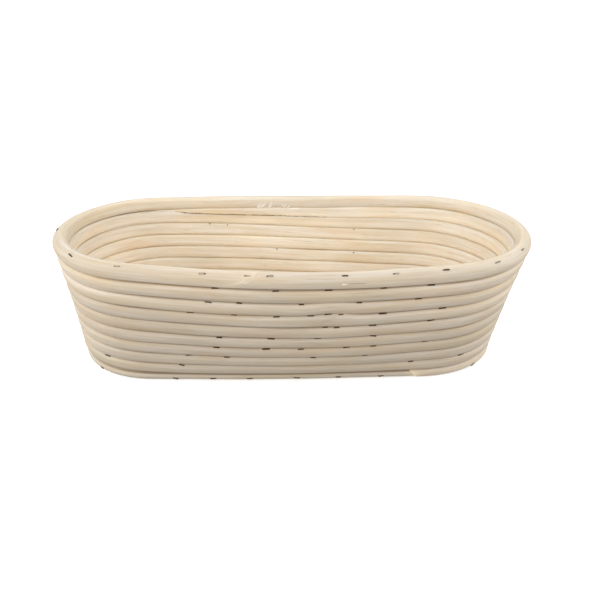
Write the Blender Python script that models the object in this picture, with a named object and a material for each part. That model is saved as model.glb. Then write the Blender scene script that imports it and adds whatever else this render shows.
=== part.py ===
# Oval bowl of coiled cane, standing on z = 0, with +X along its length.
# A straight centre cane is wrapped by a flat base spiral. The same coil then climbs course by course
# as the wall, always along the back, and a level hoop closes it as the rim.

import math

import bmesh
import bpy
import numpy as np
from mathutils import Vector

MM = 0.001

# Overall size, over the outside of the rim
RIM_LENGTH = 280.0 * MM
RIM_WIDTH = 140.0 * MM

# Cane, drawn with six sides
CANE_WIDTH = 7.4 * MM  # across its flats, which face the neighbouring courses
COURSE_GAP = 0.6 * MM
STAND_FLAT_SHARE = 0.1  # of the cane's diameter is cut flat where the bowl stands
WHITTLED_SHARE = 0.2  # of the full section is left at the tip of a whittled end
CLIMB_PARING = 0.16  # of the section is pared away where the coil climbs from the base onto itself
BASE_PARING = 0.06  # of the section is pared away on the outer turn of the base, under the wall
ROUNDED_SHARE = 0.55  # of the section is left at the rounded ends of the centre cane

# Base
BASE_TURNS = 5
CENTRE_CANE_LENGTH = 172.0 * MM
BASE_SHIFT = -2.8 * MM  # of the base against the rim, along X
SIDE_BOW = 3.6 * MM  # of the base's outer turn, in the middle of a side
ROUNDED_END = 3.2 * MM  # past each end of the centre cane

# Wall, counted in courses above the base's outer turn
WALL_COURSES = 9
SIDE_SEAT = math.radians(32.0)  # from the vertical, of the first course on the base, in the middle of a side
END_SEAT = math.radians(10.5)  # the same at the ends
SIDE_BEND = math.radians(18.5)  # how much steeper the wall is at the rim than on its second course
END_BEND = math.radians(-6.0)
BOW_POWER = 1.85  # how the bow, the flare and the bend fall off from the middle of a side to the ends

# Coil
CLIMB_START = 30.0 * MM  # past the right end, along the base's outer turn
END_STEPS = 8  # points round each end of a turn
SIDE_STEPS = 4  # points along each side of a turn

# Splices, by their X, and the course that each is in
BASE_SPLICE_X = 66.0 * MM
WALL_SPLICE_X = 18.0 * MM
WALL_SPLICE_COURSE = 6  # courses above the base's outer turn
RIM_SPLICE_X = -29.0 * MM
SCARF_LENGTH = 16.0 * MM
SCARF_GAP = 0.5 * MM

# Values worked out from those above
PITCH = CANE_WIDTH + COURSE_GAP
FLAT_TURN = math.pi / 6  # turns the section's flats from lying level to standing upright
CANE_RADIUS = CANE_WIDTH / (2 * math.cos(FLAT_TURN))  # to the corners of the section
RIM_COURSE = BASE_TURNS + WALL_COURSES
BASE_RADIUS = BASE_TURNS * PITCH
CENTRE_HALF = CENTRE_CANE_LENGTH / 2 - ROUNDED_END
BASE_HALF = CENTRE_HALF + BASE_RADIUS
BASE_HEIGHT = CANE_RADIUS - 2 * CANE_RADIUS * STAND_FLAT_SHARE
SIDE_FLARE = RIM_WIDTH / 2 - CANE_RADIUS - BASE_RADIUS - SIDE_BOW
END_FLARE = RIM_LENGTH / 2 - CANE_RADIUS - BASE_HALF
QUARTER = END_STEPS // 2
TURN = 2 * (END_STEPS + SIDE_STEPS)
LEFT_END = TURN // 2
FRONT = LEFT_END + QUARTER  # station where the front's straight run starts
BACK_LENGTH = math.pi * BASE_RADIUS + 2 * CENTRE_HALF
SCARF_SLOPE = SCARF_LENGTH / CANE_WIDTH
SCARF_HALF = 0.5 * SCARF_GAP * math.hypot(1, SCARF_SLOPE)  # half the gap, along the cane

# Stations run counterclockwise seen from above, from the middle of the right end, TURN to a turn.
# At each mark: the centre that the turn bends round, the direction it faces, and the length so far.
MARKS = (0, QUARTER, QUARTER + SIDE_STEPS, FRONT, FRONT + SIDE_STEPS, TURN)
MARK_CENTRES = (CENTRE_HALF, CENTRE_HALF, -CENTRE_HALF, -CENTRE_HALF, CENTRE_HALF, CENTRE_HALF)
MARK_FACINGS = tuple(math.radians(a) for a in (0, 90, 90, 270, 270, 360))
BACK_MARKS = (0, QUARTER, QUARTER + SIDE_STEPS, LEFT_END)
BACK_LENGTHS = (0, BACK_LENGTH / 2 - CENTRE_HALF, BACK_LENGTH / 2 + CENTRE_HALF, BACK_LENGTH)

# Finish
CANE_ROUGHNESS = 0.7
RIM_COLOUR = (0.76, 0.68, 0.56)
UPPER_COLOUR = (0.72, 0.60, 0.43)
LOWER_COLOUR = (0.60, 0.50, 0.37)
BASE_COLOUR = (0.55, 0.46, 0.34)
SHARP_EDGE = math.radians(70)

# Fineness of the working
WELD = 0.001 * MM
STATION_ROOM = 0.1  # least distance of a cane's end from the next whole station


def fullness(lengthwise):
    """1 at the middle of a side, 0 at the ends, for a place along the bowl from -1 to 1."""
    return 1 - abs(lengthwise) ** BOW_POWER


def seat_angle(course, lengthwise):
    """The angle from the vertical at which a course sits on the one before it."""
    middle = fullness(lengthwise)
    first = END_SEAT + (SIDE_SEAT - END_SEAT) * middle
    bend = END_BEND + (SIDE_BEND - END_BEND) * middle
    flare = END_FLARE + (SIDE_FLARE - END_FLARE) * middle - BASE_SHIFT * lengthwise
    bends = [bend * (0.5 - i / (WALL_COURSES - 2)) for i in range(WALL_COURSES - 1)]
    lean = math.asin((flare / PITCH - math.sin(first)) / sum(math.cos(b) for b in bends))
    seats = (math.pi / 2, first, lean + bends[0], lean + bends[-1])
    return np.interp(course - BASE_TURNS, (0, 1, 2, WALL_COURSES), seats)


def facing_at(station):
    """The centre that the coil bends round at a station, and the direction it faces there."""
    place = station % TURN
    return np.interp(place, MARKS, MARK_CENTRES), np.interp(place, MARKS, MARK_FACINGS)


def climb_share(station):
    """How much of one course the coil has climbed at a station of its turn."""
    return np.interp(station % TURN, range(LEFT_END + 1), BACK_CLIMB)


def eased_climb(station):
    """The climb at a whole station of the back: steady along it, and half as steep at its two ends."""
    length = np.interp(station, BACK_MARKS, BACK_LENGTHS)
    share = min(1, max(0, (length - CLIMB_START) / (BACK_LENGTH - CLIMB_START)))
    return share - math.sin(2 * math.pi * share) / (4 * math.pi)


def course_place(station, course):
    """The middle of the cane, and the turn that lays the flats of its section on the neighbouring courses."""
    centre, facing = facing_at(station)
    lengthwise = (centre + math.cos(facing) * BASE_RADIUS) / BASE_HALF
    rises = max(0, math.ceil(course - BASE_TURNS))
    seats = [seat_angle(course - i, lengthwise) for i in range(rises)]
    bow = SIDE_BOW * fullness(lengthwise) * (course - rises) / BASE_TURNS
    out = bow + PITCH * (course - rises + sum(math.sin(a) for a in seats))
    up = PITCH * sum(math.cos(a) for a in seats)
    middle = Vector((centre + math.cos(facing) * out + BASE_SHIFT, math.sin(facing) * out, BASE_HEIGHT + up))
    turns = [min(FLAT_TURN, seat_angle(c, lengthwise)) for c in (course, course + 1)]
    return middle, sum(turns) / len(turns)


def rise_direction(station, step):
    """The direction of a step from one course to the next, up from straight out."""
    facing = facing_at(station)[1]
    return math.atan2(step.z, step.x * math.cos(facing) + step.y * math.sin(facing))


def section_reach(turn, share, direction):
    """How far the section reaches from the cane's middle, for a direction up from straight out."""
    off_flat = (direction + turn - math.pi / 2) % (2 * FLAT_TURN)
    return share * CANE_RADIUS * math.cos(off_flat - FLAT_TURN)


def wedge_place(station, climb):
    """The coil's last course: whittled to fill what room is left between the rim and the course below."""
    below, below_turn = course_place(station, RIM_COURSE - 2 + climb)
    rim, rim_turn = course_place(station, RIM_COURSE)
    direction = rise_direction(station, rim - below)
    room = (rim - below).length - 2 * COURSE_GAP
    room -= section_reach(below_turn, 1, direction) + section_reach(rim_turn, 1, direction + math.pi)
    return (below + rim) / 2, math.pi / 2 - direction, room / CANE_WIDTH


def coil_place(station):
    """(middle, turn of the section, share of the full section) of the coil. It is whittled where it starts
    and where it runs out, and pared where it climbs off the base."""
    turn = station // TURN
    climb = climb_share(station)
    if turn == 0:
        return *course_place(station, (1 + climb) / 2), 1 - (1 - climb) * PITCH / CANE_WIDTH
    if turn == RIM_COURSE - 1:
        return wedge_place(station, climb)
    pared = BASE_PARING * max(0, 1 - abs(turn + climb - BASE_TURNS))
    if turn in (BASE_TURNS - 1, BASE_TURNS):
        pared += CLIMB_PARING * math.sin(math.pi * climb)
    return *course_place(station, turn + climb), 1 - pared


def rim_place(station):
    """(middle, turn of the section, share of the full section) of the rim, which is level."""
    return *course_place(station, RIM_COURSE), 1.0


def front_station(x, turn):
    """The station on the front's straight run with this X, in a given turn."""
    along = (x - BASE_SHIFT + CENTRE_HALF) / (2 * CENTRE_HALF)
    return turn * TURN + FRONT + SIDE_STEPS * along


def cane_stations(start, end):
    """Every whole station between two places on the coil, and the places themselves."""
    whole = range(math.floor(start + STATION_ROOM) + 1, math.ceil(end - STATION_ROOM))
    return [start, *whole, end]


def least_gap(stations, places):
    """The least gap of a cane to its own next turn, at each of its points, or at the scarf of one turn."""
    by_station = dict(zip(stations, places))
    gaps = [SCARF_GAP]
    for station, (middle, turn, share) in by_station.items():
        if station + TURN in by_station:
            next_middle, next_turn, next_share = by_station[station + TURN]
            step = next_middle - middle
            direction = rise_direction(station, step)
            reach = section_reach(turn, share, direction)
            next_reach = section_reach(next_turn, next_share, direction + math.pi)
            gaps.append(step.length - reach - next_reach)
    return min(gaps)


def tube_mesh(name, places):
    """One unbroken six-sided tube through (middle, turn, share) places, as a closed mesh."""
    curve = bpy.data.curves.new(name, "CURVE")
    curve.dimensions = "3D"
    curve.twist_mode = "Z_UP"
    curve.bevel_depth = CANE_RADIUS
    curve.bevel_resolution = 1
    curve.use_fill_caps = True
    spline = curve.splines.new("POLY")
    spline.points.add(len(places) - 1)
    for point, (middle, turn, share) in zip(spline.points, places):
        point.co = (*middle, 1)
        point.tilt = turn
        point.radius = share
    guide = bpy.data.objects.new(name + "_guide", curve)
    bpy.context.scene.collection.objects.link(guide)
    mesh = bpy.data.meshes.new_from_object(guide.evaluated_get(bpy.context.evaluated_depsgraph_get()))
    mesh.name = name
    bpy.data.objects.remove(guide)
    form = bmesh.new()
    form.from_mesh(mesh)
    bmesh.ops.remove_doubles(form, verts=form.verts, dist=WELD)
    form.to_mesh(mesh)
    form.free()
    return mesh


def slant_end(mesh, end, along):
    """Cuts an end on the slant: its corners slide along the cane, the upper ones further on."""
    for vertex in mesh.vertices:
        if (vertex.co - end).length < CANE_RADIUS + WELD:
            vertex.co += along * SCARF_SLOPE * (vertex.co.z - end.z)


def add_part(name, mesh, colour):
    """Links a sub-part with its own material to the bowl's collection, under the bowl's empty."""
    mesh.shade_smooth()
    mesh.set_sharp_from_angle(angle=SHARP_EDGE)
    material = bpy.data.materials.new(name)
    material.use_nodes = True
    shader = material.node_tree.nodes["Principled BSDF"]
    shader.inputs["Base Color"].default_value = (*colour, 1)
    shader.inputs["Roughness"].default_value = CANE_ROUGHNESS
    shader.inputs["Metallic"].default_value = 0.0
    mesh.materials.append(material)
    part = bpy.data.objects.new(name, mesh)
    part.parent = bowl_origin
    bowl.objects.link(part)
    return part


def add_cane(name, stations, place_of, colour, slanted):
    """A length of the coil. slanted says whether its start and its end are cut on the slant."""
    places = [place_of(station) for station in stations]
    mesh = tube_mesh(name, places)
    first, second, *_, before_last, last = (middle for middle, _, _ in places)
    for cut, end, along in zip(slanted, (first, last), (second - first, last - before_last)):
        if cut:
            slant_end(mesh, end, along.normalized())
    print(f"{name}: least gap to itself {least_gap(stations, places) / MM:.2f} mm")
    return add_part(name, mesh, colour)


def cut_flat(part):
    """Takes off what lies under the plane that the bowl stands on."""
    flat = part.modifiers.new("stand_flat", "BOOLEAN")
    flat.operation = "DIFFERENCE"
    flat.object = floor_cutter


BACK_CLIMB = [eased_climb(station) for station in range(LEFT_END + 1)]

for old in list(bpy.data.objects):
    bpy.data.objects.remove(old)
bowl = bpy.data.collections.new("cane_bowl")
cutters = bpy.data.collections.new("cutters")
for group in (bowl, cutters):
    bpy.context.scene.collection.children.link(group)
bowl_origin = bpy.data.objects.new("bowl_origin", None)
bowl.objects.link(bowl_origin)

# Floor cutter: a slab as large as the bowl, with its top on z = 0
slab = bmesh.new()
bmesh.ops.create_cube(slab, size=1.0)
bmesh.ops.scale(slab, verts=slab.verts, vec=(RIM_LENGTH, RIM_WIDTH, 2 * CANE_RADIUS))
bmesh.ops.translate(slab, verts=slab.verts, vec=(0, 0, -CANE_RADIUS))
slab_mesh = bpy.data.meshes.new("floor_cutter")
slab.to_mesh(slab_mesh)
slab.free()
floor_cutter = bpy.data.objects.new("floor_cutter", slab_mesh)
floor_cutter.hide_render = True
floor_cutter.display_type = "WIRE"
cutters.objects.link(floor_cutter)

# Centre cane, with rounded ends
half_places = ((CENTRE_HALF, 1.0), (CENTRE_HALF + ROUNDED_END, ROUNDED_SHARE))
centre_places = [(-x, share) for x, share in reversed(half_places)] + list(half_places)
centre_middles = [(Vector((x + BASE_SHIFT, 0, BASE_HEIGHT)), FLAT_TURN, share) for x, share in centre_places]
centre_cane = add_part("centre_cane", tube_mesh("centre_cane", centre_middles), BASE_COLOUR)

# The coil in three lengths, spliced on the front
whittled_climb = (1 - WHITTLED_SHARE) * CANE_WIDTH / PITCH
whittled_start = np.interp(1 - whittled_climb, BACK_CLIMB, range(LEFT_END + 1))
whittled_end = np.interp(whittled_climb, BACK_CLIMB, range(LEFT_END + 1))
base_splice = front_station(BASE_SPLICE_X, BASE_TURNS - 1)
wall_splice = front_station(WALL_SPLICE_X, BASE_TURNS + WALL_SPLICE_COURSE - 1)
rim_splice = front_station(RIM_SPLICE_X, RIM_COURSE)
splice_half = SCARF_HALF * SIDE_STEPS / (2 * CENTRE_HALF)
wall_end = (RIM_COURSE - 1) * TURN + whittled_end
base_run = cane_stations(whittled_start, base_splice - splice_half)
lower_run = cane_stations(base_splice + splice_half, wall_splice - splice_half)
upper_run = cane_stations(wall_splice + splice_half, wall_end)
base_cane = add_cane("base_cane", base_run, coil_place, BASE_COLOUR, (False, True))
lower_wall_cane = add_cane("lower_wall_cane", lower_run, coil_place, LOWER_COLOUR, (True, True))
upper_wall_cane = add_cane("upper_wall_cane", upper_run, coil_place, UPPER_COLOUR, (True, False))

# Rim, one level turn whose ends meet in a scarf
rim_run = cane_stations(rim_splice + splice_half, rim_splice + TURN - splice_half)
rim_cane = add_cane("rim_cane", rim_run, rim_place, RIM_COLOUR, (True, True))

for standing in (centre_cane, base_cane, lower_wall_cane):
    cut_flat(standing)
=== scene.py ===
import math

import bpy
import numpy as np
from mathutils import Matrix, Vector


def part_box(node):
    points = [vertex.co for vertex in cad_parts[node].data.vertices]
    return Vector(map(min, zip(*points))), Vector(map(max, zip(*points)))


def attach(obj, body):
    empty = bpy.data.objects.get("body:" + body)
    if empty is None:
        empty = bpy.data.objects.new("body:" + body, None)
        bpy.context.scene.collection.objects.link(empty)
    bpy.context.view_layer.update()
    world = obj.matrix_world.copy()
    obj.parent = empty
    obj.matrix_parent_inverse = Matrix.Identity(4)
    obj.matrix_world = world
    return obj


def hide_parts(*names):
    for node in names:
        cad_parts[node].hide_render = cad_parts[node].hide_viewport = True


# Looks of an oval bowl of coiled cane: round canes with whittled and scarfed ends, wire staples and
# frayed fibres. Lengths here are in mm until they go into a mesh.

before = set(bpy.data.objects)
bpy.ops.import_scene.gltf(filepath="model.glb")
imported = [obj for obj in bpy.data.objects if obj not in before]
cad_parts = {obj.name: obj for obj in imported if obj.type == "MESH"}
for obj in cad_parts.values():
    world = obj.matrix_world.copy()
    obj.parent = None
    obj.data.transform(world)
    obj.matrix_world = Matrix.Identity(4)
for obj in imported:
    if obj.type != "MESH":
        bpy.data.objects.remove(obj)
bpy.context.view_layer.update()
mm = 0.001
upAxis = np.array([0.0, 0.0, 1.0])

# The coil's shape, which repeats the law of the solids
coil = {
    "pitch": 8.0,          # from course to course
    "solidReach": 4.27,    # of the six-sided solids, from the middle of a cane
    "baseTurns": 5,
    "wallCourses": 9,
    "centreHalf": 82.8,    # half the straight run at the heart of the base
    "baseShift": -2.8,     # of the base against the rim, along X
    "baseHeight": 3.42,    # of the base canes' middles
    "sideBow": 3.6,        # of the base's outer turn, in the middle of a side
    "sideSeat": 32.0,      # degrees off the vertical, first course on the base
    "endSeat": 10.5,
    "sideBend": 18.5,      # degrees that the wall steepens from its second course to the rim
    "endBend": -6.0,
    "bowPower": 1.85,
    "climbStart": 30.0,    # past the right end, along the base's outer turn
    "firstLap": 0.16,      # where the whittled start lies
    "lastLap": 13.42,      # where the wedge under the rim runs out
    "wedgeTip": 13.335,    # where its whittled tip lies, past which only a sliver is left in the groove
    "wedgeReach": 0.135,   # of a lap, over which it was whittled
    "wedgeTipReach": 0.02,  # over which it comes to lie in front of the courses beside it
    "baseSpliceX": 68.0,
    "wallSpliceX": 18.0,
    "wallSpliceTurns": 5,  # of the wall, under its splice
    "rimSpliceX": -29.0,
}

rimLow, rimHigh = (np.array(corner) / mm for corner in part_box("rim_cane"))
rimHalf = (rimHigh - rimLow)[:2] / 2
baseRadius = coil["baseTurns"] * coil["pitch"]
baseHalf = coil["centreHalf"] + baseRadius
endFlare, sideFlare = rimHalf - coil["solidReach"] - [baseHalf, baseRadius + coil["sideBow"]]
rimCourse = coil["baseTurns"] + coil["wallCourses"]


def ovalAt(lap):
    # Two straight runs and two half circles, a sixth of a lap to each side and each quarter,
    # counterclockwise from the middle of the right end: the centre bent round, and the direction faced
    centre = coil["centreHalf"]
    corners = np.array([0, 1, 2, 4, 5, 6]) / 6
    centres = np.interp(lap % 1, corners, [centre, centre, -centre, -centre, centre, centre])
    return centres, np.radians(np.interp(lap % 1, corners, [0, 90, 90, 270, 270, 360]))


def climbAt(lap):
    # Share of a course climbed: along the back only, steady, and half as steep at its two ends
    quarter = math.pi / 2 * baseRadius
    back = 2 * quarter + 2 * coil["centreHalf"]
    length = np.interp(lap % 1, np.array([0, 1, 2, 3]) / 6, [0, quarter, back - quarter, back])
    share = np.clip((length - coil["climbStart"]) / (back - coil["climbStart"]), 0, 1)
    return share - np.sin(2 * np.pi * share) / (4 * np.pi)


def fullness(lengthwise):
    # 1 in the middle of a side, 0 at the ends
    return 1 - np.abs(lengthwise) ** coil["bowPower"]


def seatAngle(course, lengthwise):
    # Angle off the vertical at which a course sits on the one before: flat on the base, then the first
    # seat, then a lean that reaches the rim, bending evenly from the second course up
    middle = fullness(lengthwise)
    first = np.radians(coil["endSeat"] + (coil["sideSeat"] - coil["endSeat"]) * middle)
    bend = np.radians(coil["endBend"] + (coil["sideBend"] - coil["endBend"]) * middle)
    flare = endFlare + (sideFlare - endFlare) * middle - coil["baseShift"] * lengthwise
    steps = coil["wallCourses"] - 2
    spread = sum(np.cos(bend * (0.5 - i / steps)) for i in range(steps + 1))
    second = np.arcsin((flare / coil["pitch"] - np.sin(first)) / spread) + bend / 2
    rise = course - coil["baseTurns"]
    onBase = np.pi / 2 + (first - np.pi / 2) * rise
    onFirst = first + (second - first) * (rise - 1)
    return np.select([rise < 1, rise < 2], [onBase, onFirst], second - bend * (rise - 2) / steps)


def coursePlace(lap, course):
    # Middle of the cane: flat turns outwards, then one pitch along each seat angle of the wall
    centre, facing = ovalAt(lap)
    lengthwise = (centre + np.cos(facing) * baseRadius) / baseHalf
    rises = np.maximum(0, np.ceil(course - coil["baseTurns"]))
    flat = course - rises
    out = coil["pitch"] * flat + coil["sideBow"] * fullness(lengthwise) * flat / coil["baseTurns"]
    up = np.full_like(out, coil["baseHeight"])
    for i in range(coil["wallCourses"]):
        seat = seatAngle(course - i, lengthwise)
        out = out + np.where(i < rises, coil["pitch"] * np.sin(seat), 0)
        up = up + np.where(i < rises, coil["pitch"] * np.cos(seat), 0)
    return np.stack([centre + np.cos(facing) * out + coil["baseShift"], np.sin(facing) * out, up], -1)


def frontLap(x, turn):
    # Place on the straight run of the front with this X
    return turn + (4 + (x - coil["baseShift"] + coil["centreHalf"]) / (2 * coil["centreHalf"])) / 6


# How the canes lie and how round they are
lay = {
    "caneRadius": 4.1,
    "squareness": 3.0,     # power of the section's curve in the wall, where the courses press each other
    "inSquareness": 4.2,   # and on the inside, where the dough presses too
    "rimSquareness": 2.35,  # 2 is round
    "rimInSquareness": 3.8,
    "lapStep": 0.002,      # of a lap, between the places that a path is read at
    "coilSpare": 0.05,     # of a lap, read past each end
    "rimSpare": 0.3,
    "centreSpare": 3.2,    # past each end of the straight run
    "centrePlaces": 400,
    "softening": 7.0,      # of the path, as a bent cane rounds off every corner
    "step": 0.5,           # between points of the path
    "sway": 0.07,          # sideways and up
    "swayWave": 70.0,
    "swell": 0.01,         # share of the radius
    "swellWave": 110.0,
    "spliceLift": 1.6,     # of the upper side of the course at the splice in the wall
    "overLift": 0.6,       # share of it that lifts the course over the splice
    "spliceReach": 7.0,
    "proud": 0.8,          # of the next cane's end at the splice in the lowest course
    "proudReach": 14.0,
    "thinnest": 0.1,       # half the height of a wedge, at least
    "tipWidth": 0.45,      # share of the width left at a whittled tip
    "wedgeInward": 3.2,    # of the wedge's tip, which is pressed in front of the courses beside it
    "seeds": {"coil": 11, "rim": 21, "centre": 31},
}
wallSpliceTurn = coil["baseTurns"] + coil["wallSpliceTurns"]
baseSplice = frontLap(coil["baseSpliceX"], coil["baseTurns"] - 1)
wallSplice = frontLap(coil["wallSpliceX"], wallSpliceTurn)
rimSplice = frontLap(coil["rimSpliceX"], 0)


def bump(distance, reach):
    return np.exp(-0.5 * (distance / reach) ** 2)


def unit(vectors):
    return vectors / np.linalg.norm(vectors, axis=1, keepdims=True)


def wander(along, seed, wave, size):
    # Smooth chance along a length: five sines of about one wavelength, each from its own start
    rng = np.random.default_rng(seed)
    waves = wave * rng.uniform(0.6, 1.7, 5)
    starts = rng.uniform(0, 2 * np.pi, 5)
    return size * np.sin(2 * np.pi * along[:, None] / waves + starts).sum(1) / math.sqrt(5)


def readColumn(at, places, column):
    # One value or vector per place, read between the places
    flat = column.reshape(len(places), -1)
    values = np.stack([np.interp(at, places, part) for part in flat.T], -1)
    return values.reshape((len(at),) + column.shape[1:])


def readRun(run, along):
    # Values of a run at chosen lengths along it
    return {name: readColumn(along, run["along"], column) for name, column in run.items()}


def steady(lap, **values):
    # Columns that stay the same all along a run
    return {name: np.full_like(lap, value) for name, value in values.items()}


def smoothRun(lap, columns, seed):
    # Evens the points out along the path, rounds the path off with a bell curve, and lets it sway
    steps = np.linalg.norm(np.diff(columns["middle"], axis=0), axis=1)
    length = np.concatenate([[0], np.cumsum(steps)])
    along = np.arange(0, length[-1], lay["step"])
    run = {"along": along, "lap": np.interp(along, length, lap)}
    run.update({name: readColumn(along, length, column) for name, column in columns.items()})
    reach = int(3 * lay["softening"] / lay["step"])
    bell = bump(np.arange(-reach, reach + 1) * lay["step"], lay["softening"])
    for name in ("middle", "stack", "over", "under"):
        padded = np.pad(run[name], ((reach, reach), (0, 0)), mode="edge")
        run[name] = np.stack([np.convolve(part, bell / bell.sum(), "valid") for part in padded.T], -1)
    run["tangent"] = unit(np.gradient(run["middle"], axis=0))
    run["outward"] = unit(np.cross(run["tangent"], upAxis))
    run["upward"] = np.cross(run["outward"], run["tangent"])
    run["middle"] += run["outward"] * wander(along, seed, lay["swayWave"], lay["sway"])[:, None]
    run["middle"] += run["upward"] * wander(along, seed + 1, lay["swayWave"], lay["sway"])[:, None]
    for name in ("stack", "over", "under"):
        out, up = (run[name] * run["outward"]).sum(1), (run[name] * run["upward"]).sum(1)
        run[name + "Angle"] = np.arctan2(up, out)
    return run


def coilRun():
    # The whole coil: turn plus climb gives the course. Its first and last turn are wedges, halfway
    # between their neighbours and as high as the room that these leave
    lap = np.arange(coil["firstLap"] - lay["coilSpare"], coil["lastLap"] + lay["coilSpare"], lay["lapStep"])
    course = np.floor(lap) + climbAt(lap)
    below = coursePlace(lap, np.maximum(course - 1, 0))
    above = coursePlace(lap, np.minimum(course + 1, rimCourse))
    underRim = lap >= rimCourse - 1
    wedge = (lap < 1) | underRim
    middle = np.where(wedge[:, None], (below + above) / 2, coursePlace(lap, course))
    rooms = np.linalg.norm(above - middle, axis=1) + np.linalg.norm(middle - below, axis=1)
    high = np.where(wedge, (rooms - coil["pitch"]) / 2, rooms / 4)
    high = np.clip(high * lay["caneRadius"] * 2 / coil["pitch"], lay["thinnest"], None)
    taper = np.clip(high / lay["caneRadius"], 0, 1)
    wide = lay["caneRadius"] * (lay["tipWidth"] + (1 - lay["tipWidth"]) * taper)
    whittled = np.sqrt(np.clip((coil["wedgeTip"] - lap) / coil["wedgeReach"], 0, 1)) * lay["caneRadius"]
    inFront = underRim * np.clip((coil["wedgeTip"] - lap) / coil["wedgeTipReach"], 0, 1)
    high = np.where(underRim, np.maximum(high, whittled), high)
    columns = {"middle": middle, "stack": above - below, "over": above - middle, "under": middle - below}
    columns.update(high=high, wide=wide, inward=lay["wedgeInward"] * (1 - taper) * inFront)
    squareness, inSquareness = lay["squareness"], lay["inSquareness"]
    columns.update(steady(lap, squareness=squareness, inSquareness=inSquareness, topped=1.0))
    run = smoothRun(lap, columns, lay["seeds"]["coil"])
    run["middle"] -= run["outward"] * run["inward"][:, None]
    # The course at the wall's splice swells upwards, and the one over it gives way
    turn, share = np.divmod(run["lap"], 1)
    lift = lay["spliceLift"] * bump(run["middle"][:, 0] - coil["wallSpliceX"], lay["spliceReach"])
    spliced, over = ((turn == wallSpliceTurn + i) & (share > 0.5) for i in (0, 1))
    run["middle"][:, 2] += lift / 2 * spliced + lay["overLift"] * lift * over
    run["high"] += lift / 2 * spliced
    fromSplice = run["along"] - np.interp(baseSplice, run["lap"], run["along"])
    proud = bump(fromSplice, lay["proudReach"]) * (run["lap"] >= baseSplice)
    run["middle"] += run["outward"] * (lay["proud"] * proud)[:, None]
    return run


def rimRun():
    # One level turn on top, drawn past both sides of its splice
    lap = np.arange(rimSplice - lay["rimSpare"], rimSplice + (1 + lay["rimSpare"]), lay["lapStep"])
    middle = coursePlace(lap, np.full_like(lap, rimCourse))
    stack = middle - coursePlace(lap, np.full_like(lap, rimCourse - 1))
    columns = {"middle": middle, "stack": stack, "over": stack, "under": stack}
    columns.update(steady(lap, high=lay["caneRadius"], wide=lay["caneRadius"], topped=0.0))
    columns.update(steady(lap, squareness=lay["rimSquareness"], inSquareness=lay["rimInSquareness"]))
    return smoothRun(lap, columns, lay["seeds"]["rim"])


def centreRun():
    # The straight cane at the heart of the base, whose laps are its X
    x = np.linspace(-1, 1, lay["centrePlaces"]) * (coil["centreHalf"] + lay["centreSpare"])
    middle = np.stack([x + coil["baseShift"], 0 * x, 0 * x + coil["baseHeight"]], -1)
    stack = np.tile([0.0, -1.0, 0.0], (len(x), 1))
    columns = {"middle": middle, "stack": stack, "over": stack, "under": stack}
    columns.update(steady(x, high=lay["caneRadius"], wide=lay["caneRadius"], topped=1.0))
    columns.update(steady(x, squareness=lay["squareness"], inSquareness=lay["inSquareness"]))
    return smoothRun(x, columns, lay["seeds"]["centre"])


def sectionRadius(part, turned):
    # Superellipse, (cos t / high) ** p + (sin t / wide) ** p = r ** -p: high along the stack, from which
    # the angle t counts, and wide across it
    high, wide = part["high"][:, None], part["wide"][:, None]
    power = np.where(np.sin(turned) > 0, part["inSquareness"][:, None], part["squareness"][:, None])
    lengthwise, crosswise = np.abs(np.cos(turned)) / high, np.abs(np.sin(turned)) / wide
    return (lengthwise ** power + crosswise ** power) ** (-1 / power)


def tubeQuads(rings, sides):
    # Each point of a ring joined to the next one along and the next one round
    ring, side = np.meshgrid(np.arange(rings - 1), np.arange(sides), indexing="ij")
    here, beside = ring * sides + side, ring * sides + (side + 1) % sides
    return np.stack([here, here + sides, beside + sides, beside], -1).reshape(-1, 4)


def manyTubes(count, rings, sides):
    # Faces of many like tubes, whose rings turn the other way from a cane's, with a flat cap at both ends
    starts = np.arange(count) * rings * sides
    quads = tubeQuads(rings, sides)[:, [0, 3, 2, 1]] + starts[:, None, None]
    lastCaps = starts[:, None] + (rings - 1) * sides + np.arange(sides)
    firstCaps = starts[:, None] + np.arange(sides)[::-1]
    return quads.reshape(-1, 4).tolist() + lastCaps.tolist() + firstCaps.tolist()


# Section and ends of a cane
section = {
    "sides": 32,
    "ringStep": 2.0,
    "endSteps": np.array([0.0, 0.12, 0.35, 0.8]),
    "chamfer": 0.09,       # share of the radius taken off the edge of an end
    "chamferLength": 0.8,
    "lobes": ((2, 0.010), (3, 0.007), (5, 0.003)),  # waves round the section, and their share of the radius
    "lobeWave": 160.0,
    "lobeDrift": 1.5,      # radians that a lobe turns by, about
    "scarfFade": 26.0,
    "scarfPower": 1.5,
    "sharpAngle": 50.0,    # degrees
    "cuts": {              # slope along the cane for each mm up, gap, and how pale the cut is
        "square": (0.0, 0.0, 0.0),
        "base": (-1.1, 0.4, 1.0),
        "wall": (1.7, 0.06, 0.0),
        "rim": (2.4, 0.1, 0.5),
    },
}
# What the finish reads at each point of a cane
marks = {
    "woodApart": 100.0,    # between the wood of one seed and the next
    "tones": ((190.0, 0.6), (45.0, 0.3)),  # waves of the tone along a cane, and their size
    "lowShade": 1.2,        # painted shade: tone lost towards the table
    "lowReach": 45.0,      # and none of it this high up
    "bendStart": 85.0,     # from the bowl's middle, where the bend of the ends begins
    "bendFull": 125.0,
    "bendPale": 0.32,      # painted light: share of the outside's grey taken off at the bends, so they are paler
    "bendDustAndShade": 0.5,       # share of the dust and painted groove shade that stays in the grooves there
    "paintedShadeEdge": 0.35,      # sine of the angle from a seat at which the painted shade is full
    "paleReach": 2.5,      # of the bare wood at a cut end
}


def withEnds(onRings, onEnds):
    # Values at the points of the rings, then those at the middles of the two ends
    return np.concatenate([onRings.reshape((-1,) + onRings.shape[2:]), onEnds])


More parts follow.
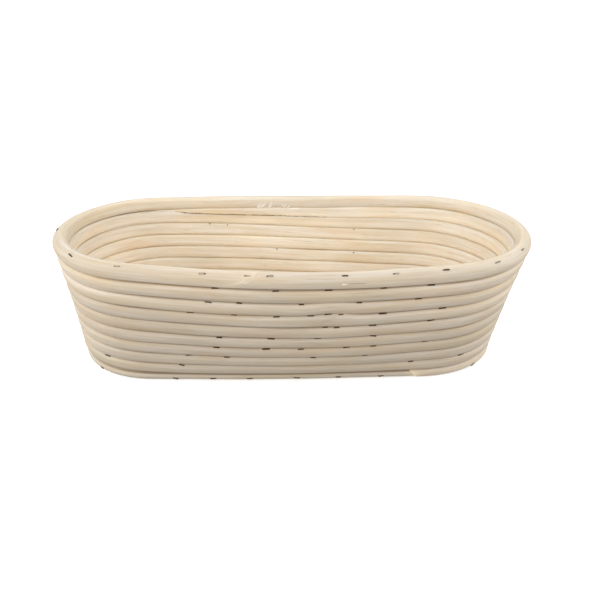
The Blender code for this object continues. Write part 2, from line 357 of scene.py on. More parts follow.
def caneMarks(part, along, fromEnds, pales, phi, radius, seed):
    # The place in the wood, the tone, how far a point faces out of the bowl, the painted light and shade of
    # its upper and lower half, the way across the groove with the dust and painted shade that stay in it, and
    # how freshly it is cut
    turned = phi - part["stackAngle"][:, None]
    laid = np.stack([along[:, None] + 0 * phi, radius * np.cos(phi), radius * np.sin(phi)], -1)
    laid = withEnds(laid, [[along[0], 0, 0], [along[-1], 0, 0]]) + [marks["woodApart"] * seed, 0, 0]
    tone = sum(wander(along, seed + 3 + i, wave, size) for i, (wave, size) in enumerate(marks["tones"]))
    # Painted shade: darker towards the table
    tone = tone - marks["lowShade"] * np.clip(1 - part["middle"][:, 2] / marks["lowReach"], 0, 1)
    bendReach = marks["bendFull"] - marks["bendStart"]
    bent = np.clip((np.abs(part["middle"][:, :1]) - marks["bendStart"]) / bendReach, 0, 1)
    # The bends keep less of the outside's grey: painted light
    outside = (0.5 - 0.5 * np.sin(turned)) * (1 - marks["bendPale"] * bent)
    # Painted light and shade: with a positive share, outside tops and inside lows paler, inside tops and
    # outside lows darker
    paintedShade = np.cos(turned) * np.clip(-np.sin(turned) / marks["paintedShadeEdge"], -1, 1)
    isUpper = np.cos(turned) > 0
    contact = np.where(isUpper, part["overAngle"][:, None], part["underAngle"][:, None])
    # Dust and painted shade in the grooves, less of it at the bends
    dustAndShadeShare = np.where(isUpper, part["topped"][:, None], 1.0) * (1 - (1 - marks["bendDustAndShade"]) * bent)
    seam = np.stack([radius * np.sin(phi - contact), dustAndShadeShare, 0 * dustAndShadeShare], -1)
    cutEnd = pales @ np.exp(-fromEnds / marks["paleReach"])
    return {
        "laid": laid,
        "tone": withEnds(tone[:, None] + 0 * radius, tone[[0, -1]]),
        "outside": withEnds(outside, [0.5, 0.5]),
        "paintedShade": withEnds(paintedShade, [0.0, 0.0]),
        "seam": withEnds(seam, np.zeros((2, 3))),
        "cutEnd": withEnds(cutEnd[:, None] + 0 * radius, pales),
    }


def caneSurface(run, laps, ends, seed):
    # Rings round the path, middle + r cos(phi) outward + r sin(phi) upward: a superellipse along the stack,
    # with slow lobes, carried from end to end. A slanted end slides its rings along the cane by slope
    # times height, fading away from the end
    slopes, gaps, pales = np.array([section["cuts"][end] for end in ends]).T
    halfGaps = 0.5 * gaps * np.hypot(1, slopes)
    first, last = np.interp(laps, run["lap"], run["along"]) + halfGaps * [1, -1]
    steps = section["endSteps"]
    inner = np.linspace(first + steps[-1], last - steps[-1], int((last - first) / section["ringStep"]))
    along = np.concatenate([first + steps[:-1], inner, last - steps[-2::-1]])
    part = readRun(run, along)
    fromEnds = np.stack([along - first, last - along])
    phi = np.linspace(0, 2 * np.pi, section["sides"], endpoint=False)
    radius = sectionRadius(part, phi - part["stackAngle"][:, None])
    for i, (count, size) in enumerate(section["lobes"]):
        drift = wander(along, seed + i, section["lobeWave"], section["lobeDrift"])[:, None]
        radius = radius * (1 + size * np.cos(count * phi + drift))
    swell = wander(along, seed + 7, lay["swellWave"], lay["swell"])
    nearEdge = np.clip(1 - fromEnds.min(0) / section["chamferLength"], 0, 1)
    chamfer = section["chamfer"] * (np.abs(slopes).max() == 0)
    radius = radius * ((1 + swell) * (1 - chamfer * nearEdge ** 2))[:, None]
    fades = np.clip(1 - fromEnds / section["scarfFade"], 0, 1) ** section["scarfPower"]
    slide = (slopes @ fades)[:, None] * radius * np.sin(phi)
    out = (radius * np.cos(phi))[..., None] * part["outward"][:, None]
    up = (radius * np.sin(phi))[..., None] * part["upward"][:, None]
    rings = part["middle"][:, None] + out + up + slide[..., None] * part["tangent"][:, None]
    points = withEnds(rings, rings[[0, -1]].mean(1))
    points[:, 2] = np.maximum(points[:, 2], 0)  # worn flat where the bowl stands
    count, sides = radius.shape
    turn, lastRing = np.arange(sides), (count - 1) * sides
    nextTurn = (turn + 1) % sides
    startCap = np.stack([np.full(sides, count * sides), turn, nextTurn], -1)
    endCap = np.stack([np.full(sides, count * sides + 1), lastRing + nextTurn, lastRing + turn], -1)
    faces = tubeQuads(count, sides).tolist() + startCap.tolist() + endCap.tolist()
    return points, faces, caneMarks(part, along, fromEnds, pales, phi, radius, seed)


def addPiece(name, surface, material, slotName, *nodes):
    # A mesh from points in mm, faces and one value or vector per point, riding on the bowl
    points, faces, attributes = surface
    mesh = bpy.data.meshes.new(name)
    mesh.from_pydata((points * mm).tolist(), [], faces)
    for label, values in attributes.items():
        isVector = values.ndim == 2
        layer = mesh.attributes.new(label, "FLOAT_VECTOR" if isVector else "FLOAT", "POINT")
        layer.data.foreach_set("vector" if isVector else "value", values.astype(np.float32).ravel())
    mesh.shade_smooth()
    mesh.set_sharp_from_angle(angle=math.radians(section["sharpAngle"]))
    mesh.materials.append(material)
    piece = bpy.data.objects.new(name, mesh)
    bpy.context.scene.collection.objects.link(piece)
    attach(piece, "root")
    if nodes:
        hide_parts(*nodes)
    print(f"{name}: {len(points)} points, {len(faces)} faces")


def toLinear(hexColour):
    # sRGB hex to linear RGBA
    parts = np.array([int(hexColour[i:i + 2], 16) for i in (1, 3, 5)]) / 255
    linear = np.where(parts <= 0.04045, parts / 12.92, ((parts + 0.055) / 1.055) ** 2.4)
    return (*linear.tolist(), 1.0)


def addNode(tree, kind, settings, inputs):
    # One node with its settings, and a value or a link for each named or numbered input
    node = tree.nodes.new("ShaderNode" + kind)
    for name, value in settings.items():
        setattr(node, name, value)
    for key, value in inputs.items():
        if isinstance(value, bpy.types.NodeSocket):
            tree.links.new(value, node.inputs[key])
        else:
            node.inputs[key].default_value = value
    return node


def newMaterial(name, constants):
    # A material with what is the same all over set on its shader's own sockets
    material = bpy.data.materials.new(name)
    material.use_nodes = True
    shader = material.node_tree.nodes["Principled BSDF"]
    for socket, value in constants.items():
        shader.inputs[socket].default_value = value
    return material, material.node_tree, shader


# Peeled rattan core: stripped of its bark and drawn to size, so it is matt, cream, and streaked along its
# length by the cut fibre bundles, with warm blotches where the sap dried and a greyer outside that is
# partly weathered by the air and partly painted shade
canes = {
    "straw": "#eadbc2",
    "layers": {            # over the straw, one after another, each by its share
        "streak": ("#f6ecdd", "MIX"),
        "blotch": ("#edd3b1", "MIX"),
        "sallow": ("#ead6ac", "MIX"),
        # Painted shade in part: greys and darkens the outside, partly weathering
        "airedAndShaded": ("#cac4be", "MULTIPLY"),
        "hair": ("#b3956c", "MIX"),
        "cutEnd": ("#f5e4c4", "MIX"),
        "dustAndShade": ("#8d7250", "MIX"),  # dust and painted shade, in the groove between two courses
    },
    # Length and width in mm, detail, start, and share: where it begins, where it is full, and the most.
    # The real bundles are about 0.4 mm wide, and streaks and hairs are drawn coarser so that they show
    "grain": {
        "streak": {"size": (34.0, 1.1), "detail": 3.0, "start": (0, 0, 0), "share": (0.34, 0.66, 1.0)},
        "blotch": {"size": (38.0, 5.0), "detail": 2.0, "start": (7, 3, 1), "share": (0.5, 0.72, 0.55)},
        "sallow": {"size": (85.0, 6.0), "detail": 1.0, "start": (4, 8, 6), "share": (0.46, 0.66, 0.32)},
        "hair": {"size": (11.0, 0.55), "detail": 1.0, "start": (2, 5, 9), "share": (0.62, 0.74, 0.28)},
    },
    "airedAndShadedRange": (0.25, 0.85),  # how far a point faces out where the grey, partly painted shade, begins, and where it is full
    "dustAndShadeSoft": 0.45,      # from where the dust and painted shade begin to where they are full
    "dustAndShadeInside": 2.1,     # across the seat of the course, where it ends
    "toneReach": 1.5,      # tone, either way, past which the colour changes no more
    "toneShares": (0.91, 1.07),  # of the colour, at the darkest and the palest tone
    "roughRange": (0.3, 0.7),  # of the streaks' noise
    "roughness": (0.54, 0.72),
    "bumpDepth": 0.12,
    "bumpStrength": 0.6,
    "glow": 0.3,           # share of the light that comes back out from under the surface
    "glowDepth": 0.8,
    "glowColours": (1.0, 0.75, 0.5),  # red reaches furthest
    # For each slot: bright scales the colour, darker on the lower slots as painted shade; grey is of the
    # outside, partly painted shade; the painted light and shade of its upper and lower half; inside scales
    # the inner side's colour as painted light and shade; dust, with painted shade, and its edge are of the
    # grooves
    "finishes": {
        "base_cane": {"bright": 0.89, "grey": 0.72, "paintedShade": 0.04, "inside": 1.0,
                      "dustAndShade": 0.8, "dustAndShadeEdge": -3.7},
        "lower_wall_cane": {"bright": 0.95, "grey": 0.7, "paintedShade": 0.05, "inside": 1.08,
                            "dustAndShade": 0.45, "dustAndShadeEdge": -2.95},
        "upper_wall_cane": {"bright": 1.0, "grey": 0.64, "paintedShade": 0.12, "inside": 1.0,
                            "dustAndShade": 0.42, "dustAndShadeEdge": -2.95},
        "rim_cane": {"bright": 1.04, "grey": 0.6, "paintedShade": -0.05, "inside": 0.86,
                     "dustAndShade": 0.5, "dustAndShadeEdge": -2.95},
    },
    "seeds": {"centreCane": 41, "baseCane": 42, "lowerWallCane": 2220, "upperWallCane": 5411, "rimCane": 45},
}


def grainShare(tree, laid, grain):
    # Noise stretched along the cane, on the length along it and the place in its section, and its share
    length, width = grain["size"]
    stretch = {"Vector": laid, "Location": grain["start"], "Scale": (1 / length, 1 / width, 1 / width)}
    place = addNode(tree, "Mapping", {}, stretch).outputs[0]
    noise = addNode(tree, "TexNoise", {}, {"Vector": place, "Scale": 1.0, "Detail": grain["detail"]})
    begin, full, most = grain["share"]
    share = addNode(tree, "MapRange", {}, {0: noise.outputs[0], 1: begin, 2: full, 3: 0.0, 4: most})
    return noise.outputs[0], share.outputs[0]


def peeledCane(name, finish):
    material, tree, shader = newMaterial(name, {
        "Subsurface Weight": canes["glow"],
        "Subsurface Radius": canes["glowColours"],
        "Subsurface Scale": canes["glowDepth"] * mm,
    })
    read = {}
    for label in ("tone", "outside", "paintedShade", "cutEnd"):
        read[label] = addNode(tree, "Attribute", {"attribute_name": label}, {}).outputs["Fac"]
    for label in ("laid", "seam"):
        read[label] = addNode(tree, "Attribute", {"attribute_name": label}, {}).outputs["Vector"]
    noises, shares = {}, {"cutEnd": read["cutEnd"]}
    for label, grain in canes["grain"].items():
        noises[label], shares[label] = grainShare(tree, read["laid"], grain)
    begin, full = canes["airedAndShadedRange"]
    airedAndShaded = {0: read["outside"], 1: begin, 2: full, 3: 0.0, 4: finish["grey"]}
    shares["airedAndShaded"] = addNode(tree, "MapRange", {}, airedAndShaded).outputs[0]
    # Dust and painted groove shade lie across the seat, from near the outside to a little way past the middle
    across = addNode(tree, "SeparateXYZ", {}, {0: read["seam"]}).outputs
    soft, edge, end = canes["dustAndShadeSoft"], finish["dustAndShadeEdge"], canes["dustAndShadeInside"]
    begins = addNode(tree, "MapRange", {}, {0: across[0], 1: edge, 2: edge + soft, 3: 0.0, 4: finish["dustAndShade"]})
    ends = addNode(tree, "MapRange", {}, {0: across[0], 1: end - soft, 2: end, 3: 1.0, 4: 0.0})
    dustAndShade = addNode(tree, "Math", {"operation": "MULTIPLY"}, {0: begins.outputs[0], 1: ends.outputs[0]})
    dustAndShade = addNode(tree, "Math", {"operation": "MULTIPLY"}, {0: dustAndShade.outputs[0], 1: across[1]})
    shares["dustAndShade"] = dustAndShade.outputs[0]
    colour = toLinear(canes["straw"])
    for label, (hexColour, blend) in canes["layers"].items():
        mixed = {0: shares[label], 6: colour, 7: toLinear(hexColour)}
        colour = addNode(tree, "Mix", {"data_type": "RGBA", "blend_type": blend}, mixed).outputs[2]
    # Tone, the painted light and shade of the upper and lower half, and the inner side's painted light and
    # shade scale the colour
    reach, shadeSwing, (darkest, palest) = canes["toneReach"], finish["paintedShade"], canes["toneShares"]
    for label, low, high, atLow, atHigh in (
        ("tone", -reach, reach, darkest * finish["bright"], palest * finish["bright"]),
        ("paintedShade", -1.0, 1.0, 1 - shadeSwing, 1 + shadeSwing),
        ("outside", 0.0, 1.0, finish["inside"], 1.0),
    ):
        shade = addNode(tree, "MapRange", {}, {0: read[label], 1: low, 2: high, 3: atLow, 4: atHigh})
        scaled = {0: colour, 3: shade.outputs[0]}
        colour = addNode(tree, "VectorMath", {"operation": "SCALE"}, scaled).outputs[0]
    tree.links.new(colour, shader.inputs["Base Color"])
    (low, high), (smooth, rough) = canes["roughRange"], canes["roughness"]
    roughness = addNode(tree, "MapRange", {}, {0: noises["streak"], 1: low, 2: high, 3: smooth, 4: rough})
    tree.links.new(roughness.outputs[0], shader.inputs["Roughness"])
    height = addNode(tree, "Math", {"operation": "SUBTRACT"}, {0: noises["streak"], 1: shares["hair"]})
    relief = addNode(tree, "Bump", {}, {
        "Strength": canes["bumpStrength"], "Distance": canes["bumpDepth"] * mm, "Height": height.outputs[0],
    })
    tree.links.new(relief.outputs[0], shader.inputs["Normal"])
    return material


# Flat steel wire, blackened and rusted by the damp of the dough, with some of its zinc left on the newer ones
wire = {
    "dark": "#2e1a0a",
    "rust": "#6a4526",
    "zinc": "#c4b6a1",
    "rustSize": 0.8,
    "rustRange": (0.45, 0.65),  # of its noise
    "rustMost": 0.8,
    "roughness": 0.9,
    "metallic": 0.1,
    "gloss": 0.05,
}


def stapleWire():
    constants = {"Metallic": wire["metallic"], "Roughness": wire["roughness"]}
    constants["Specular IOR Level"] = wire["gloss"]
    material, tree, shader = newMaterial("rustedSteelWire", constants)
    age = addNode(tree, "Attribute", {"attribute_name": "age"}, {}).outputs["Fac"]
    place = addNode(tree, "TexCoord", {}, {}).outputs["Object"]
    patches = {"Vector": place, "Scale": 1 / (wire["rustSize"] * mm), "Detail": 3.0}
    rust = addNode(tree, "TexNoise", {}, patches)
    low, high = wire["rustRange"]
    share = addNode(tree, "MapRange", {}, {0: rust.outputs[0], 1: low, 2: high, 3: 0.0, 4: wire["rustMost"]})
    rgba = {"data_type": "RGBA"}
    dark, rusty, zinc = (toLinear(wire[name]) for name in ("dark", "rust", "zinc"))
    aged = addNode(tree, "Mix", rgba, {0: share.outputs[0], 6: dark, 7: rusty})
    colour = addNode(tree, "Mix", rgba, {0: age, 6: zinc, 7: aged.outputs[2]})
    tree.links.new(colour.outputs[2], shader.inputs["Base Color"])
    return material


# Staples: those that show along the front, by their X, and the rest by chance
staples = {
    "crown": 3.5,
    "leg": 3.0,
    "shoulder": 0.3,       # depth at which a leg begins to bend
    "width": 0.72,
    "thick": 0.45,
    "proud": 0.3,
    "seatSpread": 2.5,     # degrees round the cane
    "askew": 0.07,         # radians
    "stretch": (0.75, 1.12),
    "spread": (0.75, 1.25),
    "dip": 0.08,           # slope of a crown that was driven in crooked
    "spacing": (26.0, 36.0),
    "wallSeat": (1.32, -59.0),  # share of the lean of the stack, and degrees: just where the groove opens
    "rimSeat": (0.0, 57.0),
    "rimBackSeat": (0.0, 28.0),
    "baseSeat": (0.0, -16.0),
    "frontShare": (0.505, 0.995),  # of a lap
    "frontPlaces": 300,    # at which X is read there
    "backShare": (0.02, 0.48),
    "draws": 40,           # of a spacing, more than any row needs
    "rimBackLaps": (1.03, 1.44),  # past the rim's right end
    "front": {
        14: (-135, -117, -91, -47, -24, -13, 25, 51, 77, 105, 123),
        13: (-41, -10, 17, 45, 70),
        12: (-45, -29, 3, 33, 64),
        11: (-55, -32, -10, 8, 17, 24, 46, 78),
        10: (16, 22, 41, 73),
        9: (-41, -13, 12, 42),
        8: (-43, -16, 3, 28, 43, 72),
        7: (-59, -38, 10, 39),
        6: (-106, -64, 66, 95),
        5: (-111, -69, -47, -26, 1, 25, 50, 104),
    },
    "tips": (11.304, 11.292, 11.204, 9.258, 9.204),  # legs that come through inside the back
    "tipSeat": (0.0, 128.0),
    "tipSize": 0.22,       # against a crown
    "zinc": 0.15,          # share left on the crowns in the wall, at most
    "rimZinc": (0.0, 0.0, 0.9, 0.9, 0.9, 0.7, 0.1, 0.8, 0.1, 0.4, 0.5),  # on those listed for the rim
    "zincPlaces": (-0.5, 0.5),  # middle of the bright stretch, in half crowns
    "zincReach": 1.1,      # half its length, and over what it fades, in half crowns too
    "zincFade": 0.5,
    "seeds": {"laps": 60, "row": 80, "rim": 95, "backLaps": 76, "back": 98, "tips": 96},
}


def stapleForm():
    # A bent wire: legs down, round shoulders and a flat crown that bows a little, six-sided, in
    # (along, across, off the surface)
    proud = staples["proud"]
    along = np.array([1, 1, 0.94, 0.6]) * staples["crown"] / 2
    off = np.array([-staples["leg"], -staples["shoulder"], proud * 0.6, proud])
    along = np.concatenate([-along, [0.0], along[::-1]])
    off = np.concatenate([off, [proud * 1.1], off[::-1]])
    path = np.stack([along, 0 * along, off], -1)
    across = np.array([0.0, 1.0, 0.0])
    normal = np.cross(unit(np.gradient(path, axis=0)), across)
    angle = np.linspace(0, 2 * np.pi, 6, endpoint=False) + np.pi / 6
    side = (staples["width"] / 2 * np.cos(angle))[None, :, None] * across
    thick = (staples["thick"] / 2 * np.sin(angle))[None, :, None] * normal[:, None]
    return path[:, None] + side + thick


def stapleSurface(run, laps, seat, size, zinc, seed):
    # Every staple of a run as one array: the form set on the cane's surface, each a little askew
    rng = np.random.default_rng(seed)
    count = len(laps)
    part = readRun(run, np.interp(laps, run["lap"], run["along"]))
    lean = seat[0] * part["stackAngle"] + np.radians(seat[1] + rng.normal(0, staples["seatSpread"], count))
    off = np.cos(lean)[:, None] * part["outward"] + np.sin(lean)[:, None] * part["upward"]
    askew = rng.normal(0, staples["askew"], count)[:, None]
    ahead = np.cos(askew) * part["tangent"] + np.sin(askew) * np.cross(off, part["tangent"])
    across = np.cross(off, ahead)
    form = stapleForm()
    rings, sides = form.shape[:2]
    flat = form.reshape(-1, 3)
    seatPoint = part["middle"] + off * sectionRadius(part, (lean - part["stackAngle"])[:, None])
    stretch = size * rng.uniform(*staples["stretch"], count)[:, None, None]
    spread = rng.uniform(*staples["spread"], count)[:, None, None]
    dip = rng.normal(0, staples["dip"], count)[:, None, None]
    points = seatPoint[:, None] + stretch * flat[:, :1] * ahead[:, None]
    points = points + spread * flat[:, 1:2] * across[:, None]
    points = points + (flat[:, 2:] + dip * flat[:, :1]) * off[:, None]
    # Zinc is left round a chance place on the crown
    place = form[..., 0].ravel() / (staples["crown"] / 2)
    fromBright = np.abs(place - rng.uniform(*staples["zincPlaces"], count)[:, None])
    age = 1 - zinc[:, None] * np.clip((staples["zincReach"] - fromBright) / staples["zincFade"], 0, 1)
    return points.reshape(-1, 3), manyTubes(count, rings, sides), {"age": age.ravel()}


def listedLaps(run, course, turn):
    # The staples listed for the front of one turn
    front = np.linspace(*(turn + np.array(staples["frontShare"])), staples["frontPlaces"])
    frontX = readRun(run, np.interp(front, run["lap"], run["along"]))["middle"][:, 0]
    return np.interp(staples["front"][course], frontX, front)


def chanceLaps(run, laps, seed):
    # Places along a run, one after another, a chance spacing apart
    rng = np.random.default_rng(seed)
    first, last = np.interp(laps, run["lap"], run["along"])
    places = first + np.cumsum(rng.uniform(*staples["spacing"], staples["draws"]))
    return np.interp(places[places < last], run["along"], run["lap"])


# Fibres torn up by the knife: on the back rim, along the wedge and its tip, and on the front of the rim. Flat
# brown ones also paint the shade of the grooves, a crack and the scarf's line
fibres = {
    "thick": 0.16,
    "sunk": 0.02,          # of a fibre's root
    "stations": 6,
    "narrowing": 0.9,      # share of the width lost at the tip
    "narrowPower": 1.5,
    "liftSpread": (0.3, 1.5),
    "pale": "#fffbf2",
    # brown of bruised fibre and of painted shade
    "shadeBrown": "#86653d",
    "roughness": 0.7,
    "seed": 97,
    "tufts": {             # degrees round the cane count from outwards, the slant from the grain; the brown share is bruising and painted shade
        "backBed": {"run": "rim", "laps": (1.250, 1.272), "round": (182, 232), "count": 30, "width": 0.6,
                    "length": (1.4, 2.8), "slant": (112, 138), "lift": 0.0, "bruiseAndShade": 0.4},
        "backRim": {"run": "rim", "laps": (1.262, 1.271), "round": (205, 234), "count": 16, "width": 0.9,
                    "length": (2.4, 4.4), "slant": (112, 132), "lift": 0.7, "bruiseAndShade": 0.0},
        "backFray": {"run": "rim", "laps": (1.248, 1.261), "round": (200, 234), "count": 16, "width": 0.7,
                     "length": (1.2, 2.4), "slant": (108, 145), "lift": 0.5, "bruiseAndShade": 0.0},
        "wedgeTip": {"run": "coil", "laps": (13.326, 13.338), "round": (165, 200), "count": 12, "width": 0.6,
                     "length": (4.0, 9.0), "slant": (-4, 6), "lift": 0.5, "bruiseAndShade": 0.05},
        "wedgeSeam": {"run": "coil", "laps": (13.222, 13.312), "round": (215, 225), "count": 80,
                      "width": 0.45, "length": (2.0, 5.0), "slant": (-3, 3), "lift": 0.0, "bruiseAndShade": 0.85},
        "wedgeEdge": {"run": "coil", "laps": (13.308, 13.336), "round": (200, 226), "count": 36, "width": 0.5,
                      "length": (1.0, 3.0), "slant": (-16, 16), "lift": 0.2, "bruiseAndShade": 0.9},
        "wedgeRags": {"run": "coil", "laps": (13.306, 13.328), "round": (196, 222), "count": 12, "width": 0.5,
                      "length": (0.8, 1.8), "slant": (-60, 60), "lift": 0.4, "bruiseAndShade": 0.1},
        "courseEdge": {"run": "coil", "laps": (13.240, 13.246), "round": (126, 138), "count": 5, "width": 0.7,
                       "length": (4.0, 6.0), "slant": (-4, 4), "lift": 0.3, "bruiseAndShade": 0.12},
        "frontEdge": {"run": "rim", "laps": (0.731, 0.742), "round": (-56, -46), "count": 9, "width": 0.5,
                      "length": (1.2, 3.0), "slant": (-14, 10), "lift": 0.2, "bruiseAndShade": 0.5},
        "rimCrack": {"run": "rim", "laps": (0.779, 0.781), "round": (0, 3), "count": 3, "width": 0.4,
                     "length": (6.0, 9.0), "slant": (-1, 1), "lift": 0.0, "bruiseAndShade": 0.8},
        "rimNick": {"run": "rim", "laps": (0.776, 0.778), "round": (-6, -2), "count": 3, "width": 0.9,
                    "length": (1.0, 1.6), "slant": (-10, 10), "lift": 0.2, "bruiseAndShade": 0.1},
        "rimScarf": {"run": "rim", "laps": (0.7205, 0.7245), "round": (-16, -4), "count": 6, "width": 0.8,
                     "length": (4.0, 6.0), "slant": (-26, -16), "lift": 0.1, "bruiseAndShade": 0.15},
        "scarfLine": {"run": "rim", "laps": (0.7205, 0.7215), "round": (-20, -16), "count": 3, "width": 0.4,
                      "length": (5.0, 7.0), "slant": (-22, -14), "lift": 0.0, "bruiseAndShade": 0.6},
    },
}


def fibreSurface(paths):
    # Each fibre follows the cane's surface on a slant and lifts with the square of the way, a flat
    # diamond in section that narrows to a point
    rng = np.random.default_rng(fibres["seed"])
    way = np.linspace(0, 1, fibres["stations"])
    narrow = (1 - fibres["narrowing"] * way ** fibres["narrowPower"])[:, None, None]
    angle = np.linspace(0, 2 * np.pi, 4, endpoint=False)[:, None]
    grids, bruiseShades = [], []
    for tuft in fibres["tufts"].values():
        run, count = paths[tuft["run"]], tuft["count"]
        laps = rng.uniform(*tuft["laps"], count)
        part = readRun(run, np.interp(laps, run["lap"], run["along"]))
        root = np.radians(rng.uniform(*tuft["round"], count))[:, None]
        slant = np.radians(rng.uniform(*tuft["slant"], count))[:, None]
        length = rng.uniform(*tuft["length"], count)[:, None]
        lift = tuft["lift"] * rng.uniform(*fibres["liftSpread"], count)[:, None] * way ** 2
        turn = root - length * np.sin(slant) / lay["caneRadius"] * way
        tangent = part["tangent"][:, None]
        off = np.cos(turn)[..., None] * part["outward"][:, None]
        off = off + np.sin(turn)[..., None] * part["upward"][:, None]
        ahead = np.cos(slant)[..., None] * tangent + np.sin(slant)[..., None] * np.cross(tangent, off)
        across = np.cross(off, ahead)
        height = sectionRadius(part, turn - part["stackAngle"][:, None]) - fibres["sunk"] + lift
        spine = part["middle"][:, None] + height[..., None] * off
        spine = spine + (length * np.cos(slant) * way)[..., None] * tangent
        diamond = tuft["width"] / 2 * np.cos(angle) * across[:, :, None]
        diamond = diamond + fibres["thick"] / 2 * np.sin(angle) * off[:, :, None]
        grids.append(spine[:, :, None] + narrow * diamond)
        bruiseShades.append(np.full(count, tuft["bruiseAndShade"]))
    grid = np.concatenate(grids)
    count, stations, sides = grid.shape[:3]
    attributes = {"bruisedAndShaded": np.repeat(np.concatenate(bruiseShades), stations * sides)}
    return grid.reshape(-1, 3), manyTubes(count, stations, sides), attributes


def tornFibre():
    # Torn cane fibre: paler than the skin where its broken face scatters light, brown where it is bruised and
    # where flat slivers paint the shade of grooves and cracks
    material, tree, shader = newMaterial("tornCaneFibre", {"Roughness": fibres["roughness"]})
    bruisedAndShaded = addNode(tree, "Attribute", {"attribute_name": "bruisedAndShaded"}, {}).outputs["Fac"]
    ends = {0: bruisedAndShaded, 6: toLinear(fibres["pale"]), 7: toLinear(fibres["shadeBrown"])}
    colour = addNode(tree, "Mix", {"data_type": "RGBA"}, ends)
    tree.links.new(colour.outputs[2], shader.inputs["Base Color"])
    return material


print("coil: laying the path")
coilPath, rimPath, centrePath = coilRun(), rimRun(), centreRun()

print("materials: peeled cane and wire")
finishes = {}
for slotName, finish in canes["finishes"].items():
    finishes[slotName] = peeledCane("peeledCane" + slotName.split("_")[0].title(), finish)
wireFinish = stapleWire()

print("canes: sweeping the rings")
sweeps = {  # path, laps and cuts of the two ends, slot, and the node that it stands for
    "centreCane": (centrePath, centrePath["lap"][[0, -1]], ("square", "square"), "base_cane", "centre_cane"),
    "baseCane": (coilPath, (coil["firstLap"], baseSplice), ("square", "base"), "base_cane", "base_cane"),
    "lowerWallCane": (coilPath, (baseSplice, wallSplice), ("base", "wall"),
                      "lower_wall_cane", "lower_wall_cane"),
    "upperWallCane": (coilPath, (wallSplice, coil["lastLap"]), ("wall", "square"),
                      "upper_wall_cane", "upper_wall_cane"),
    "rimCane": (rimPath, (rimSplice, rimSplice + 1), ("rim", "rim"), "rim_cane", "rim_cane"),
}
for name, (path, laps, ends, slotName, node) in sweeps.items():
    surface = caneSurface(path, laps, ends, canes["seeds"][name])
    addPiece(name, surface, finishes[slotName], slotName, node)

print("staples: pinning the courses")
seeds = staples["seeds"]
for course in range(coil["baseTurns"], rimCourse):
    backLaps = chanceLaps(coilPath, course - 1 + np.array(staples["backShare"]), seeds["laps"] + course)
    laps = np.concatenate([listedLaps(coilPath, course, course - 1), backLaps])
    seat = staples["baseSeat"] if course == coil["baseTurns"] else staples["wallSeat"]
    zinc = np.linspace(0, staples["zinc"], len(laps))
    row = stapleSurface(coilPath, laps, seat, 1.0, zinc, seeds["row"] + course)
    addPiece(f"stapleRow{course}", row, wireFinish, "upper_wall_cane")
rimLaps = rimSplice + (listedLaps(rimPath, rimCourse, 0) - rimSplice) % 1
rimRow = stapleSurface(rimPath, rimLaps, staples["rimSeat"], 1.0, np.array(staples["rimZinc"]), seeds["rim"])
addPiece("stapleRowRim", rimRow, wireFinish, "rim_cane")
backLaps = chanceLaps(rimPath, staples["rimBackLaps"], seeds["backLaps"])
backZinc = np.linspace(0, staples["zinc"], len(backLaps))
backRow = stapleSurface(rimPath, backLaps, staples["rimBackSeat"], 1.0, backZinc, seeds["back"])
addPiece("stapleRowRimBack", backRow, wireFinish, "rim_cane")
tipLaps = np.array(staples["tips"])
tips = stapleSurface(coilPath, tipLaps, staples["tipSeat"], staples["tipSize"], 0 * tipLaps, seeds["tips"])
addPiece("stapleTips", tips, wireFinish, "upper_wall_cane")

print("fibres: fraying the whittled places")
addPiece("frayedFibres", fibreSurface({"coil": coilPath, "rim": rimPath}), tornFibre(), "rim_cane")

# Studio: a pale floor, broad soft light from the front and overhead, a softbox at each side and a white
# surround
studio = {
    "boardColour": "#f8f8f7",
    "boardGlow": 0.45,     # lit from below, as product tables are
    "boardGloss": 0.1,
    "boardRoughness": (0.8, 0.9),
    "speckSize": 25.0,
    "speckRange": (0.3, 0.7),  # of its noise
    "floorRadius": 12000.0,
    "floorSides": 64,
    "floorDrop": 0.2,
    "wallHeight": 12000.0,
    "surround": "#ffffff",
    "surroundStrength": 0.55,
    "skies": {             # degrees round from the front, degrees up, degrees across, strength
        "frontSky": (-8.0, 22.0, 50.0, 0.42),
        "overheadSky": (0.0, 76.0, 75.0, 0.95),
    },
    "boxes": {             # place and size in metres, power in watts
        "leftBox": ((-1.45, -0.6, 0.3), 1.2, 14.5),
        "rightBox": ((1.5, -0.3, 0.5), 1.2, 9.5),
    },
}


def opalBoard():
    # Opal acrylic board lit from below: matt, white, only the faintest unevenness of its roughness
    white = toLinear(studio["boardColour"])
    constants = {"Base Color": white, "Specular IOR Level": studio["boardGloss"]}
    constants.update({"Emission Color": white, "Emission Strength": studio["boardGlow"]})
    material, tree, shader = newMaterial("opalBoard", constants)
    place = addNode(tree, "TexCoord", {}, {}).outputs["Object"]
    specks = {"Vector": place, "Scale": 1 / (studio["speckSize"] * mm), "Detail": 2.0}
    speck = addNode(tree, "TexNoise", {}, specks)
    (low, high), (smooth, rough) = studio["speckRange"], studio["boardRoughness"]
    roughness = addNode(tree, "MapRange", {}, {0: speck.outputs[0], 1: low, 2: high, 3: smooth, 4: rough})
    tree.links.new(roughness.outputs[0], shader.inputs["Roughness"])
    return material


def addStage(name, points, faces, material):
    # A part of the studio. Its glow is for the eye, and lights no cane
    mesh = bpy.data.meshes.new(name)
    mesh.from_pydata((points * mm).tolist(), [], faces)
    mesh.shade_smooth()
    mesh.materials.append(material)
    piece = bpy.data.objects.new(name, mesh)
    bpy.context.scene.collection.objects.link(piece)
    piece.visible_diffuse = piece.visible_glossy = False
    return piece


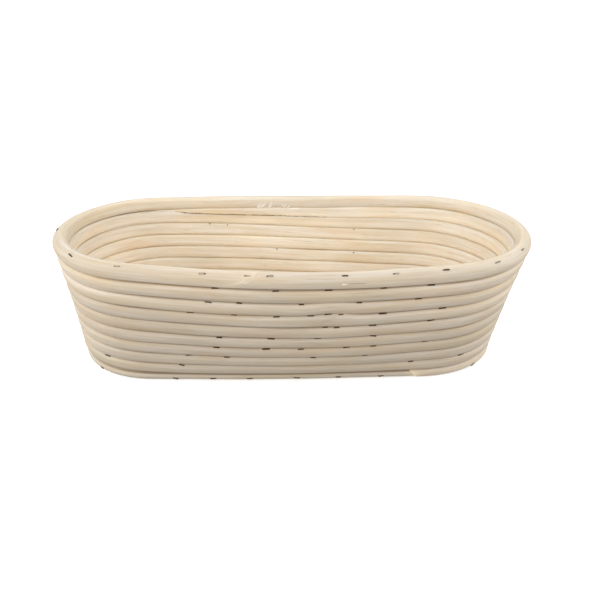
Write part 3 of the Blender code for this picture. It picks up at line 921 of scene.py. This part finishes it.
def addFloor():
    # A round floor and a wall round it, which lets the light through
    board = opalBoard()
    angle = np.linspace(0, 2 * np.pi, studio["floorSides"], endpoint=False)
    circle = np.stack([np.cos(angle), np.sin(angle), 0 * angle], -1) * studio["floorRadius"]
    circle[:, 2] = -studio["floorDrop"]
    around = np.arange(len(angle))
    addStage("floor", circle, [around.tolist()], board)
    after = (around + 1) % len(angle)
    quads = np.stack([after, around, around + len(angle), after + len(angle)], -1)
    wall = np.concatenate([circle, circle + upAxis * studio["wallHeight"]])
    addStage("backdrop", wall, quads.tolist(), board).visible_shadow = False


def addLights():
    for name, (azimuth, elevation, spread, strength) in studio["skies"].items():
        sky = bpy.data.lights.new(name, "SUN")
        sky.angle = math.radians(spread)
        sky.energy = strength
        lamp = bpy.data.objects.new(name, sky)
        lamp.rotation_euler = (math.radians(90 - elevation), 0, math.radians(azimuth))
        bpy.context.scene.collection.objects.link(lamp)
    for name, (place, size, power) in studio["boxes"].items():
        box = bpy.data.lights.new(name, "AREA")
        box.size = size
        box.energy = power
        lamp = bpy.data.objects.new(name, box)
        lamp.location = place
        lamp.rotation_euler = (-Vector(place)).to_track_quat("-Z", "Y").to_euler()
        bpy.context.scene.collection.objects.link(lamp)
    world = bpy.data.worlds.new("paleSurround")
    world.use_nodes = True
    background = world.node_tree.nodes["Background"]
    background.inputs["Color"].default_value = toLinear(studio["surround"])
    background.inputs["Strength"].default_value = studio["surroundStrength"]
    bpy.context.scene.world = world
    bpy.context.scene.view_settings.view_transform = "Standard"


# Camera where the photograph was taken from, about the rim's middle
viewpoint = {
    "distance": 401.5,
    "elevation": 0.3607,   # radians
    "pitch": 0.4564,
    "yaw": 0.0269,
    "roll": 0.0021,
    "aside": 4.11,
    "focal": 668.6 / 600,  # in picture widths
    "sensor": 36.0,
    "nearest": 0.01,       # in metres
}


def addCamera():
    reach = viewpoint["distance"] * math.cos(viewpoint["elevation"])
    height = viewpoint["distance"] * math.sin(viewpoint["elevation"])
    rimHeight = coursePlace(np.array([0.25]), np.array([float(rimCourse)]))[0, 2]
    turn = Matrix.Rotation(-viewpoint["yaw"], 4, "Z")
    stand = Matrix.Translation([viewpoint["aside"] * mm, -reach * mm, (height + rimHeight) * mm])
    tilt = Matrix.Rotation(math.pi / 2 - viewpoint["pitch"], 4, "X")
    lens = bpy.data.cameras.new("camera")
    lens.sensor_width = viewpoint["sensor"]
    lens.lens = viewpoint["sensor"] * viewpoint["focal"]
    lens.clip_start = viewpoint["nearest"]
    camera = bpy.data.objects.new("camera", lens)
    camera.matrix_world = turn @ stand @ tilt @ Matrix.Rotation(viewpoint["roll"], 4, "Z")
    bpy.context.scene.collection.objects.link(camera)
    bpy.context.scene.camera = camera


print("studio: floor, light and camera")
addFloor()
addLights()
addCamera()
